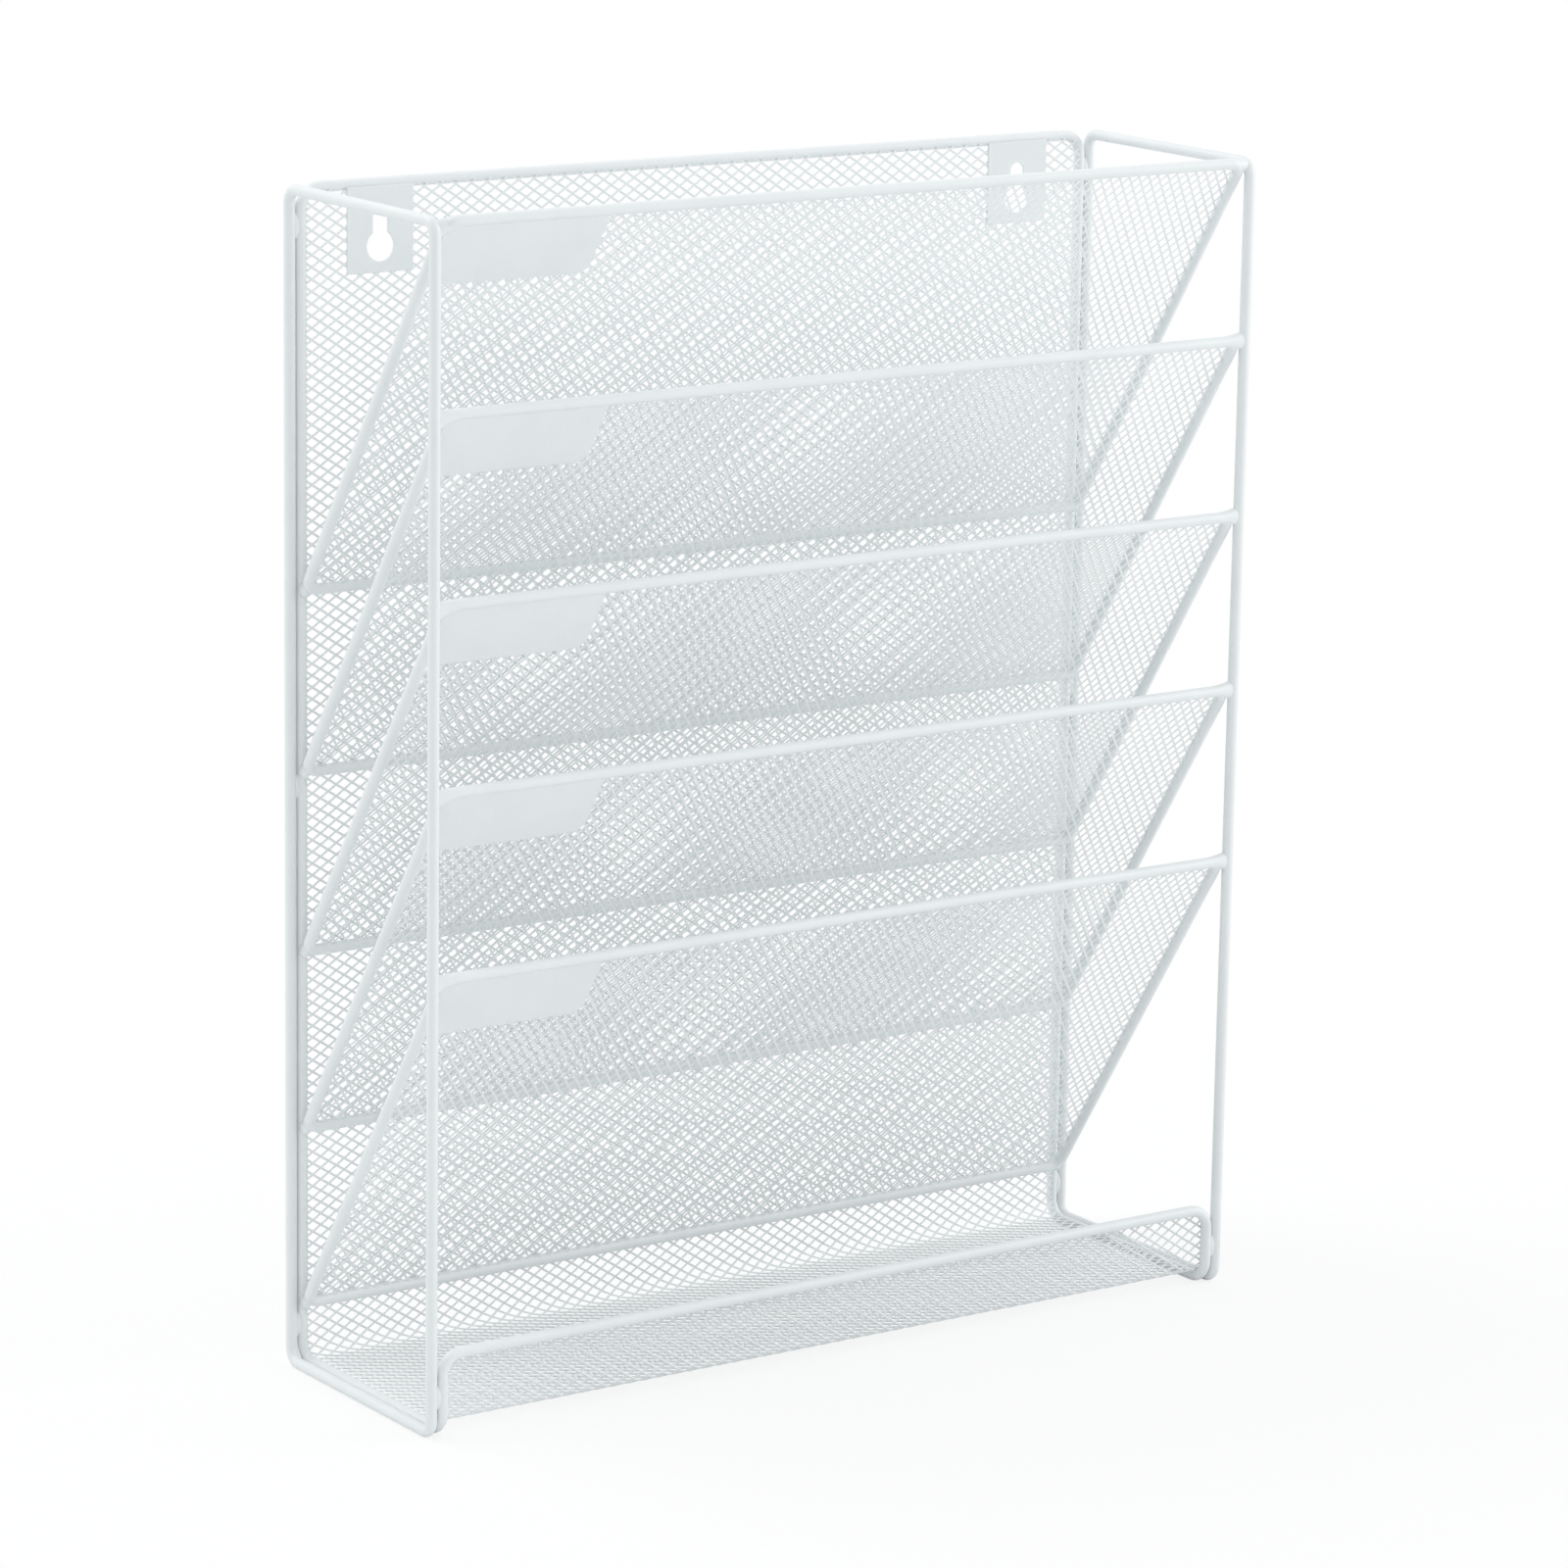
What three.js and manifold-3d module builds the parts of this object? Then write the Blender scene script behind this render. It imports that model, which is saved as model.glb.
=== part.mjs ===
// A wall organizer for papers, of bent wire and diamond mesh. Two closed wire frames stand at its sides.
// A wire outline between them forms the back and bends round at the foot into a shallow tray with a lip.
// Five slanted wire panels rest between the uprights, one pocket above each, and every outline holds its mesh.
// Lengths are in millimetres. X runs to the right, Y to the wall, and Z up. The origin is under the middle.

import * as THREE from "three";
import { mergeVertices } from "three/addons/utils/BufferGeometryUtils.js";
import Module from "manifold-3d";

const wasm = await Module();
wasm.setup();

// Overall size, over the outer faces of the wire
const overallWidth = 322;
const overallDepth = 93;
const overallHeight = 393.5;

// Wire, the same stock throughout, bent on its centre line. The side frames and panels have tight corners.
const wireDiameter = 3.8;
const frameBendRadius = 4.5;
const panelBendRadius = 4.5;
const bodyBendRadius = 7;
const wireSides = 8;
const bendSteps = 4;

// Clearance between pieces that are welded together on the real object
const seatGap = 0.3;

// Tray lip, from the floor wires up to the lip wire, between centre lines
const lipHeight = 25.8;

// Slanted panels: the step from one top wire to the next, and the fall of the panel below the horizontal
const panelCount = 5;
const panelPitch = 60;
const panelFallDegrees = 56.5;

// Diamond mesh, one sheet stock. The long way of its diamonds lies across the back and down the panels.
const sheetThickness = 0.6;
const diamondLongPitch = 57;
const diamondShortPitch = 38;
const strandWidth = 6;

// Label plates at the upper left of the panels
const plateThickness = 0.8;
const labelLength = 57.5;
const labelDrop = 22.8;
const labelCornerRadius = 4.5;

// Hanging plates in the back, with their keyholes
const keyholeInset = 32.3;
const hangingPlateWidth = 24.6;
const hangingPlateHeight = 26.5;
const keyholeDiameter = 10;
const keyholeSlotWidth = 5.5;
const keyholeDrop = 17.9;
const keyholeSlotReach = 9.4;

// Margins and counts of the working methods
const cutOverrun = 1;
const mergeTolerance = 1e-4;
const cornerSteps = 4;
const probeSteps = 40;
const halvings = 30;

// What follows from these sizes
const wireRadius = wireDiameter / 2;
const wireSpacing = wireDiameter + seatGap;
const edgeSetback = wireRadius + seatGap;
const panelInnerRadius = panelBendRadius - edgeSetback;
const bodyInnerRadius = bodyBendRadius - edgeSetback;
const frameHalfWidth = (overallWidth - wireDiameter) / 2;
const frameDepth = overallDepth - wireDiameter;
const frameHeight = overallHeight - wireDiameter;
const bodyHalfWidth = frameHalfWidth - wireSpacing;
const panelFall = THREE.MathUtils.degToRad(panelFallDegrees);

const at = (x, y, z) => new THREE.Vector3(x, y, z);
const alongX = at(1, 0, 0);

// Finishes: the white powder coat on wire, mesh and plates
const wireFinish = new THREE.MeshStandardMaterial({ color: 0xe9ecef, roughness: 0.42, metalness: 0 });
const meshFinish = new THREE.MeshStandardMaterial({ color: 0xe4e8ea, roughness: 0.5, metalness: 0 });
const plateFinish = new THREE.MeshStandardMaterial({ color: 0xe2e7ea, roughness: 0.45, metalness: 0 });

// One bend: an arc that leaves the run before a corner and joins the run after it.
class Bend extends THREE.Curve {
  constructor(before, corner, after, radius) {
    super();
    const leaving = after.clone().sub(corner).normalize();
    this.entering = corner.clone().sub(before).normalize();
    this.angle = this.entering.angleTo(leaving);
    this.inwards = leaving.addScaledVector(this.entering, -Math.cos(this.angle)).normalize();
    this.radius = radius;
    this.start = corner.clone().addScaledVector(this.entering, -radius * Math.tan(this.angle / 2));
  }

  getPoint(share, target = new THREE.Vector3()) {
    const turned = this.angle * share;
    return target
      .copy(this.start)
      .addScaledVector(this.entering, this.radius * Math.sin(turned))
      .addScaledVector(this.inwards, this.radius * (1 - Math.cos(turned)));
  }

  getTangent(share, target = new THREE.Vector3()) {
    const turned = this.angle * share;
    return target
      .copy(this.entering)
      .multiplyScalar(Math.cos(turned))
      .addScaledVector(this.inwards, Math.sin(turned));
  }

  stations() {
    return Array.from({ length: bendSteps + 1 }, (_, step) => ({
      point: this.getPoint(step / bendSteps),
      tangent: this.getTangent(step / bendSteps),
    }));
  }
}

// A closed run of wire through rounded corners. It has stations only where it bends.
class WireRun extends THREE.Curve {
  constructor(corners, radius) {
    super();
    this.stations = corners.flatMap((corner, i) => {
      const next = corners[(i + 1) % corners.length];
      return new Bend(corners.at(i - 1), corner, next, radius).stations();
    });
  }

  station(share) {
    return this.stations[Math.round(share * this.stations.length) % this.stations.length];
  }

  getPointAt(share, target = new THREE.Vector3()) {
    return target.copy(this.station(share).point);
  }

  getTangentAt(share, target = new THREE.Vector3()) {
    return target.copy(this.station(share).tangent);
  }
}

// A tube along a closed run joins its own start, so it has no ends.
function wireGeometry(corners, radius) {
  const run = new WireRun(corners, radius);
  return new THREE.TubeGeometry(run, run.stations.length, wireRadius, wireSides, true);
}

// The line that a sheet follows from end to end, bent where the wires beside it bend.
class SheetRun {
  constructor(points) {
    const corners = points.slice(1, -1);
    const bends = corners.flatMap((corner, i) =>
      new Bend(points[i], corner, points[i + 2], bodyBendRadius).stations());
    const first = { point: points[0], tangent: points[1].clone().sub(points[0]).normalize() };
    const last = { point: points.at(-1), tangent: points.at(-1).clone().sub(points.at(-2)).normalize() };
    this.stations = [first, ...bends, last];
    this.reaches = [0];
    this.stations.slice(1).forEach((station, i) => {
      this.reaches.push(this.reaches[i] + station.point.distanceTo(this.stations[i].point));
    });
    this.length = this.reaches.at(-1);
  }

  // Place and direction at a reach along the run, which may lie a little beyond either end.
  station(reach) {
    const found = this.reaches.findIndex((value) => value > reach);
    const last = this.reaches.length - 1;
    const after = found < 1 ? (reach < 0 ? 1 : last) : found;
    const share = (reach - this.reaches[after - 1]) / (this.reaches[after] - this.reaches[after - 1]);
    const [low, high] = [this.stations[after - 1], this.stations[after]];
    return {
      point: low.point.clone().lerp(high.point, share),
      tangent: low.tangent.clone().lerp(high.tangent, THREE.MathUtils.clamp(share, 0, 1)).normalize(),
    };
  }

  // Four corners of a section across the run, centred on the sheet's own thickness.
  section(reach, centre, halfWidth, halfThickness) {
    const { point, tangent } = this.station(reach);
    const outwards = tangent.clone().cross(alongX);
    return [[-1, -1], [1, -1], [1, 1], [-1, 1]].map(([across, through]) =>
      point
        .clone()
        .addScaledVector(alongX, centre + across * halfWidth)
        .addScaledVector(outwards, through * halfThickness));
  }
}

// A closed body over a row of four-cornered sections.
function loft(sections) {
  const corners = sections[0].length;
  const index = [];
  sections.slice(1).forEach((_, i) => {
    for (let corner = 0; corner < corners; corner += 1) {
      const a = i * corners + corner;
      const b = i * corners + ((corner + 1) % corners);
      index.push(a, b, b + corners, a, b + corners, a + corners);
    }
  });
  const end = (sections.length - 1) * corners;
  index.push(0, 2, 1, 0, 3, 2, end, end + 1, end + 2, end, end + 2, end + 3);
  return new THREE.BufferGeometry().setFromPoints(sections.flat()).setIndex(index);
}

// Geometry as a solid for cutting, with shared vertices and without the slivers that pointed ends leave.
function solidOf(geometry) {
  geometry.deleteAttribute("normal");
  geometry.deleteAttribute("uv");
  const merged = mergeVertices(geometry, mergeTolerance);
  const corners = merged.index.array;
  const kept = [];
  for (let i = 0; i < corners.length; i += 3) {
    const [a, b, c] = [corners[i], corners[i + 1], corners[i + 2]];
    if (a !== b && b !== c && c !== a) {
      kept.push(a, b, c);
    }
  }
  const vertProperties = merged.attributes.position.array;
  return new wasm.Manifold(new wasm.Mesh({ numProp: 3, vertProperties, triVerts: new Uint32Array(kept) }));
}

function geometryOf(solid) {
  const cut = solid.getMesh();
  return new THREE.BufferGeometry()
    .setAttribute("position", new THREE.BufferAttribute(cut.vertProperties, 3))
    .setIndex(new THREE.BufferAttribute(cut.triVerts, 1))
    .toNonIndexed();
}

// The plain sheet before its diamonds are cut, with rounded corners at both ends.
function blankSheet(run, halfWidth, cornerRadius) {
  const corner = Array.from({ length: cornerSteps + 1 }, (_, step) =>
    cornerRadius * (1 - Math.cos((step / cornerSteps) * (Math.PI / 2))));
  const bends = run.reaches.slice(1, -1);
  const reaches = [...corner, ...bends, ...corner.map((inset) => run.length - inset).reverse()];
  const sections = reaches.map((reach) => {
    const short = Math.max(cornerRadius - Math.min(reach, run.length - reach), 0);
    const drawnIn = cornerRadius - Math.sqrt(cornerRadius ** 2 - short ** 2);
    return run.section(reach, 0, halfWidth - drawnIn, sheetThickness / 2);
  });
  return solidOf(loft(sections));
}

// One diamond cutter, which bends with the sheet where it crosses a bend.
function diamondCutter(run, centre, reach, halfAcross, halfAlong) {
  const bends = run.reaches.filter((value) => Math.abs(value - reach) < halfAlong && value !== reach);
  const reaches = [reach - halfAlong, reach, reach + halfAlong, ...bends].sort((a, b) => a - b);
  const sections = reaches.map((value) => {
    const halfWidth = halfAcross * (1 - Math.abs(value - reach) / halfAlong);
    return run.section(value, centre, halfWidth, sheetThickness / 2 + cutOverrun);
  });
  return solidOf(loft(sections));
}

// Diamond mesh: a blank sheet cut by staggered rows of diamonds, with strands left between them.
// The cut edge frees a few small corners of strand, which fall away from the sheet.
function meshSheet(run, halfWidth, cornerRadius, acrossPitch, alongPitch, notches = []) {
  const sideDistance = (acrossPitch * alongPitch) / (2 * Math.hypot(acrossPitch, alongPitch));
  const openShare = 1 - strandWidth / 2 / sideDistance;
  const rows = Math.ceil(run.length / (alongPitch / 2));
  const columns = Math.ceil(halfWidth / acrossPitch);
  const blank = blankSheet(run, halfWidth, cornerRadius);
  let sheet = notches.reduce((left, notch) => left.subtract(solidOf(notch)), blank);
  for (let row = 0; row <= rows; row += 1) {
    const stagger = (row % 2) * (acrossPitch / 2);
    for (let column = -columns; column <= columns; column += 1) {
      const centre = column * acrossPitch + stagger;
      const reach = (row * alongPitch) / 2;
      const cutter = diamondCutter(run, centre, reach, (acrossPitch / 2) * openShare, (alongPitch / 2) * openShare);
      sheet = sheet.subtract(cutter);
    }
  }
  const pieces = sheet.decompose().sort((a, b) => b.volume() - a.volume());
  return geometryOf(pieces[0]);
}

function plateGeometry(outline) {
  return new THREE.ExtrudeGeometry(outline, {
    depth: plateThickness,
    bevelEnabled: false,
    curveSegments: cornerSteps * 2,
  });
}

// The smallest shift, up to a far one that is sure to clear, at which a wire clears its neighbours.
function leastShift(clears, far) {
  let [blocked, clear] = [0, far];
  for (let halving = 0; halving < halvings; halving += 1) {
    const middle = (blocked + clear) / 2;
    [blocked, clear] = clears(middle) ? [blocked, middle] : [middle, clear];
  }
  return clear;
}

const planDistance = (point, upright) => Math.hypot(point.x - upright.x, point.y - upright.y);

// A panel's corner as the assembly sees it. Its first run lies across, and its second goes up or down the slope.
function panelCorner(halfWidth, back, height, slopeDirection) {
  const corner = at(-halfWidth, back, height);
  const slope = at(0, Math.cos(panelFall), -Math.sin(panelFall)).multiplyScalar(slopeDirection * panelPitch);
  return new Bend(at(0, back, height), corner, corner.clone().add(slope), panelBendRadius).getPoints(probeSteps);
}

// The top corners of a panel lean on the uprights of the side frames and, at the top, on the frames' corners.
const frontUpright = at(-frameHalfWidth, 0, 0);
const frameCorner = new Bend(
  frontUpright,
  at(-frameHalfWidth, 0, frameHeight),
  at(-frameHalfWidth, frameDepth, frameHeight),
  frameBendRadius,
).getPoints(probeSteps);
const panelInset = leastShift(
  (inset) =>
    panelCorner(frameHalfWidth - inset, 0, frameHeight, 1).every(
      (point) =>
        planDistance(point, frontUpright) >= wireSpacing &&
        frameCorner.every((other) => point.distanceTo(other) >= wireSpacing),
    ),
  wireSpacing,
);
const panelHalfWidth = frameHalfWidth - panelInset;

// The bottom corners lean on the uprights of the back, and the bottom wire stays in front of its mesh.
const backUpright = at(-bodyHalfWidth, 0, 0);
const bottomSetback = Math.max(
  leastShift(
    (setback) =>
      panelCorner(panelHalfWidth, -setback, 0, -1).every(
        (point) => planDistance(point, backUpright) >= wireSpacing,
      ),
    wireSpacing,
  ),
  edgeSetback + sheetThickness / 2,
);
const panelLength = (frameDepth - bottomSetback) / Math.cos(panelFall);

function named(name, geometry, finish) {
  const piece = new THREE.Mesh(geometry, finish);
  piece.name = name;
  return piece;
}

// A side frame: one upright rectangle of wire with rounded corners, open inside.
function sideFrame(name, side) {
  const piece = named(
    name,
    wireGeometry(
      [
        at(0, 0, 0),
        at(0, frameDepth, 0),
        at(0, frameDepth, frameHeight),
        at(0, 0, frameHeight),
      ],
      frameBendRadius,
    ),
    wireFinish,
  );
  piece.position.x = side * frameHalfWidth;
  return piece;
}

// The body wire: up the back, across its top, and at the foot forward under the tray and up to the lip.
function bodyWire() {
  return named(
    "body_wire",
    wireGeometry(
      [
        at(-bodyHalfWidth, 0, lipHeight),
        at(-bodyHalfWidth, 0, 0),
        at(-bodyHalfWidth, frameDepth, 0),
        at(-bodyHalfWidth, frameDepth, frameHeight),
        at(bodyHalfWidth, frameDepth, frameHeight),
        at(bodyHalfWidth, frameDepth, 0),
        at(bodyHalfWidth, 0, 0),
        at(bodyHalfWidth, 0, lipHeight),
      ],
      bodyBendRadius,
    ),
    wireFinish,
  );
}

// The body mesh: one sheet from under the lip wire, round the tray and up to the top wire of the back.
// It is notched for the two hanging plates.
function bodyMesh() {
  const run = new SheetRun([
    at(0, 0, lipHeight - edgeSetback),
    at(0, 0, 0),
    at(0, frameDepth, 0),
    at(0, frameDepth, frameHeight - edgeSetback),
  ]);
  const notches = [-1, 1].map((side) => {
    const notch = new THREE.BoxGeometry(
      hangingPlateWidth + 2 * seatGap,
      sheetThickness + 2 * cutOverrun,
      hangingPlateHeight + seatGap + edgeSetback,
    );
    const top = frameHeight;
    return notch.translate(
      side * (frameHalfWidth - keyholeInset),
      frameDepth,
      top - (hangingPlateHeight + seatGap + edgeSetback) / 2,
    );
  });
  const halfWidth = bodyHalfWidth - edgeSetback;
  const sheet = meshSheet(run, halfWidth, bodyInnerRadius, diamondLongPitch, diamondShortPitch, notches);
  return named("body_mesh", sheet, meshFinish);
}

// A hanging plate, let into the back mesh under the top wire, with a keyhole for a screw head.
function hangingPlate(name, side) {
  const half = hangingPlateWidth / 2;
  const outline = new THREE.Shape([
    new THREE.Vector2(-half, 0),
    new THREE.Vector2(-half, -hangingPlateHeight),
    new THREE.Vector2(half, -hangingPlateHeight),
    new THREE.Vector2(half, 0),
  ]);
  const opening = Math.asin(keyholeSlotWidth / keyholeDiameter);
  const keyhole = new THREE.Path();
  keyhole.absarc(0, -keyholeDrop, keyholeDiameter / 2, Math.PI / 2 + opening, Math.PI / 2 - opening, false);
  keyhole.absarc(0, keyholeSlotReach - keyholeDrop, keyholeSlotWidth / 2, 0, Math.PI, false);
  keyhole.closePath();
  outline.holes.push(keyhole);
  const piece = named(name, plateGeometry(outline), plateFinish);
  piece.rotation.x = Math.PI / 2;
  piece.position.set(
    side * (frameHalfWidth - keyholeInset),
    frameDepth + plateThickness / 2,
    frameHeight - edgeSetback,
  );
  return piece;
}

// The wire outline of a panel, in the panel's own plane: X across, Y down the slope, Z to the pocket side.
function panelWire(name) {
  return named(
    name,
    wireGeometry(
      [
        at(-panelHalfWidth, 0, 0),
        at(panelHalfWidth, 0, 0),
        at(panelHalfWidth, panelLength, 0),
        at(-panelHalfWidth, panelLength, 0),
      ],
      panelBendRadius,
    ),
    wireFinish,
  );
}

function panelMesh(name) {
  const run = new SheetRun([at(0, edgeSetback, 0), at(0, panelLength - edgeSetback, 0)]);
  const halfWidth = panelHalfWidth - edgeSetback;
  const sheet = meshSheet(run, halfWidth, panelInnerRadius, diamondShortPitch, diamondLongPitch);
  return named(name, sheet, meshFinish);
}

// A label plate on the front of the mesh. Its upper left corner follows the corner of the wire outline.
function labelPlate(name) {
  const left = -panelHalfWidth + edgeSetback;
  const right = left + labelLength;
  const top = edgeSetback;
  const bottom = top + labelDrop;
  const inner = panelInnerRadius;
  const outline = new THREE.Shape();
  outline.moveTo(left + inner, top);
  outline.lineTo(right, top);
  outline.lineTo(right, bottom - labelCornerRadius);
  outline.absarc(right - labelCornerRadius, bottom - labelCornerRadius, labelCornerRadius, 0, Math.PI / 2, false);
  outline.lineTo(left, bottom);
  outline.lineTo(left, top + inner);
  outline.absarc(left + inner, top + inner, inner, Math.PI, 1.5 * Math.PI, false);
  const piece = named(name, plateGeometry(outline), plateFinish);
  piece.position.z = -(sheetThickness / 2 + seatGap + plateThickness);
  return piece;
}

// One slanted panel, hung in its own group so that its pieces are drawn flat and tilted together.
function slantedPanel(number) {
  const panel = new THREE.Group();
  panel.rotation.x = -panelFall;
  panel.position.z = frameHeight - (number - 1) * panelPitch;
  panel.add(
    panelWire(`panel_wire_${number}`),
    panelMesh(`panel_mesh_${number}`),
    labelPlate(`label_plate_${number}`),
  );
  return panel;
}

const organizer = new THREE.Group();
organizer.position.set(0, -frameDepth / 2, wireRadius);
organizer.add(
  sideFrame("side_frame_left", -1),
  sideFrame("side_frame_right", 1),
  bodyWire(),
  bodyMesh(),
  hangingPlate("hanging_plate_left", -1),
  hangingPlate("hanging_plate_right", 1),
);
for (let number = 1; number <= panelCount; number += 1) {
  organizer.add(slantedPanel(number));
}

export default organizer;
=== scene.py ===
"""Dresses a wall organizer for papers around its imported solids: bent wire, fine mesh and steel plates.

Every size that the solids know is read from them, in metres. Other sizes and the finishes are properties.
"""

import math

import bmesh
import bpy
from bpy.props import (
    FloatProperty,
    FloatVectorProperty,
    IntProperty,
    PointerProperty,
)
from mathutils import Matrix, Vector


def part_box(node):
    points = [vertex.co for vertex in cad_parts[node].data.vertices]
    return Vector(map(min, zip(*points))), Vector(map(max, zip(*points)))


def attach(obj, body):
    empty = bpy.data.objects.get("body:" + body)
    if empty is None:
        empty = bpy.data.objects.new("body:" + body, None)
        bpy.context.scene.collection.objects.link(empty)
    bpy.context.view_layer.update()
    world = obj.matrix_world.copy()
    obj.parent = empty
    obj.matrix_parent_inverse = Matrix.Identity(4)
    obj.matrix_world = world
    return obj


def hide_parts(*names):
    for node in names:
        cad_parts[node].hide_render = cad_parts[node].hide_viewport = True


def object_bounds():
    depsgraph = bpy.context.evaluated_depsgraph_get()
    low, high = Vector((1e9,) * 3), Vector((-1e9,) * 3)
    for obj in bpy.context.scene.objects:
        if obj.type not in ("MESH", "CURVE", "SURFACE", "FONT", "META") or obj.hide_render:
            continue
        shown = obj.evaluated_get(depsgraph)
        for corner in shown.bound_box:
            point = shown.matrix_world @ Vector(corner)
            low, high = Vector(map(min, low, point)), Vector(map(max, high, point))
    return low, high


bl_info = {
    "name": "Mesh file organizer",
    "version": (1, 0, 0),
    "blender": (4, 5, 0),
    "location": "3D View > Sidebar > Organizer",
    "description": "Bends the wire, cuts the diamond mesh and sets the plates of a wall organizer",
    "category": "Object",
}

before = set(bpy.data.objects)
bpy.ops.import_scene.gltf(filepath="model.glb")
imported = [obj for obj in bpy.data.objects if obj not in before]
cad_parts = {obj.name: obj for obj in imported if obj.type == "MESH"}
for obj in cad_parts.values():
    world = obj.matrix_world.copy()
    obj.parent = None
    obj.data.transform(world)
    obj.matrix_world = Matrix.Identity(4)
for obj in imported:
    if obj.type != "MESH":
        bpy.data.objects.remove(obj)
solid_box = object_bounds()

BODY = "root"
MERGE_DISTANCE = 1e-6
QUARTER = math.pi / 2

# The panels are numbered from the top down, and each side has its sign along X.
PANELS = range(1, 6)
SIDES = {"left": -1, "right": 1}

# How much of its depth a strand keeps where a hanging plate grips it.
GRIPPED_SHARE = 0.4

# Radius of a collar where it begins, and what it loses in depth by its end, as shares of the wire's.
SUNK_SHARE = 0.98
COLLAR_SINKS = 0.2

# Faces of a plate whose normal is at least this near to its axis are its flat sides.
LEVEL_SHARE = 0.999

# Edges of a plate that turn by more than this are its rim, and outlines straighter than this are straight.
RIM_ANGLE = math.radians(45)
STRAIGHT_ANGLE = math.radians(1)

# Fineness of a plate's rounded rim and of a weld bead.
RIM_SEGMENTS = 2
BEAD_SUBDIVISIONS = 3

# Half the side of the floor, and how far the camera sees.
FLOOR_HALF_WIDTH = 15
CAMERA_REACH = 50


def centre_lines(node):
    """The lowest and highest corner of a bent wire's centre line."""
    low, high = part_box(node)
    inset = Vector((wire_radius, wire_radius, wire_radius))
    return low + inset, high - inset


def extent(node, direction, origin):
    """The least and greatest reach of a solid along a direction, from an origin."""
    reaches = [(v.co - origin).dot(direction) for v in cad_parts[node].data.vertices]
    return min(reaches), max(reaches)


side_low, side_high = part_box("side_frame_left")
wire_radius = (side_high.x - side_low.x) / 2
frame_low, frame_high = centre_lines("side_frame_left")
body_low, body_high = centre_lines("body_wire")
lip_top = max(v.co.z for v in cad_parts["body_wire"].data.vertices if v.co.y < 0)
lip_height = lip_top - wire_radius


class Panel:
    """The plane of one slanted panel: where its top wire runs, how it slopes and which way it faces."""

    def __init__(self, number):
        low, high = centre_lines(f"panel_wire_{number}")
        self.number = number
        self.half_width = high.x
        self.top = Vector((0, low.y, high.z))
        down = Vector((0, high.y - low.y, low.z - high.z))
        self.length = down.length
        self.down = down.normalized()
        self.across = Vector((1, 0, 0))
        self.facing = self.across.cross(self.down)

    def matrix(self):
        """Turns a flat sheet, X across, Y down the slope and Z to the pocket, into its place."""
        turned = Matrix((self.across, self.down, self.facing)).transposed().to_4x4()
        return Matrix.Translation(self.top) @ turned


class OrganizerWire(bpy.types.PropertyGroup):
    frame_bend: FloatProperty(
        name="Frame bend",
        description="Bend radius of the side frames, on the wire's centre line",
        default=0.0045,
        unit="LENGTH",
    )
    panel_bend: FloatProperty(
        name="Panel bend",
        description="Bend radius of the panel wires, on the centre line",
        default=0.0045,
        unit="LENGTH",
    )
    body_bend: FloatProperty(
        name="Body bend",
        description="Bend radius of the body wire, on the centre line",
        default=0.007,
        unit="LENGTH",
    )
    sides: IntProperty(name="Sides", description="Sides of the wire's section", default=16)
    steps: IntProperty(name="Bend steps", description="Steps of each bend", default=8)


class OrganizerMesh(bpy.types.PropertyGroup):
    body_pitch: FloatVectorProperty(
        name="Body pitch",
        description="Body mesh, from knuckle to knuckle across the sheet and along it",
        size=2,
        default=(0.0060, 0.0039),
        unit="LENGTH",
    )
    panel_pitch: FloatVectorProperty(
        name="Panel pitch",
        description="Panel meshes, from knuckle to knuckle across the sheet and down the slope",
        size=2,
        default=(0.0040, 0.0056),
        unit="LENGTH",
    )
    strand: FloatProperty(
        name="Strand",
        description="Width of a strand",
        default=0.00078,
        unit="LENGTH",
    )
    thickness: FloatProperty(
        name="Thickness",
        description="Thickness of a strand along its middle",
        default=0.00045,
        unit="LENGTH",
    )
    twist: FloatProperty(
        name="Twist",
        description="How far the points of an opening stand off the sheet, one to each side",
        default=-0.00012,
        unit="LENGTH",
    )
    stand_off: FloatProperty(
        name="Stand-off",
        description="From the body wire's centre line in to the body mesh, welded to its inner side",
        default=0.0019,
        unit="LENGTH",
    )
    rim_sink: FloatProperty(
        name="Rim sink",
        description="How far the rim of the body mesh sinks into the wire",
        default=0.0003,
        unit="LENGTH",
    )


class OrganizerPlate(bpy.types.PropertyGroup):
    tuck: FloatProperty(
        name="Tuck",
        description="From the centre line of a panel's wire to the label plate's edge, welded into it",
        default=0.0012,
        unit="LENGTH",
    )
    label_corner: FloatProperty(
        name="Label corner",
        description="Radius of a label plate's lower corner",
        default=0.0045,
        unit="LENGTH",
    )
    keyhole: FloatProperty(
        name="Keyhole",
        description="Diameter of the round of a keyhole",
        default=0.010,
        unit="LENGTH",
    )
    slot: FloatProperty(
        name="Slot",
        description="Width of a keyhole's slot",
        default=0.0055,
        unit="LENGTH",
    )
    lap: FloatProperty(
        name="Lap",
        description="From the top wire's centre line down to a hanging plate's edge, welded to the wire",
        default=0.0006,
        unit="LENGTH",
    )
    drop: FloatProperty(
        name="Keyhole drop",
        description="From the top of a hanging plate's solid to the middle of the round",
        default=0.0179,
        unit="LENGTH",
    )
    reach: FloatProperty(
        name="Slot reach",
        description="From the middle of the round up to the middle of the slot's end",
        default=0.0094,
        unit="LENGTH",
    )
    rim: FloatProperty(
        name="Rim",
        description="Rounding that the powder coat leaves on a plate's edges",
        default=0.0002,
        unit="LENGTH",
    )
    arc_steps: IntProperty(name="Arc steps", description="Steps of a quarter turn", default=8)


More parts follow.
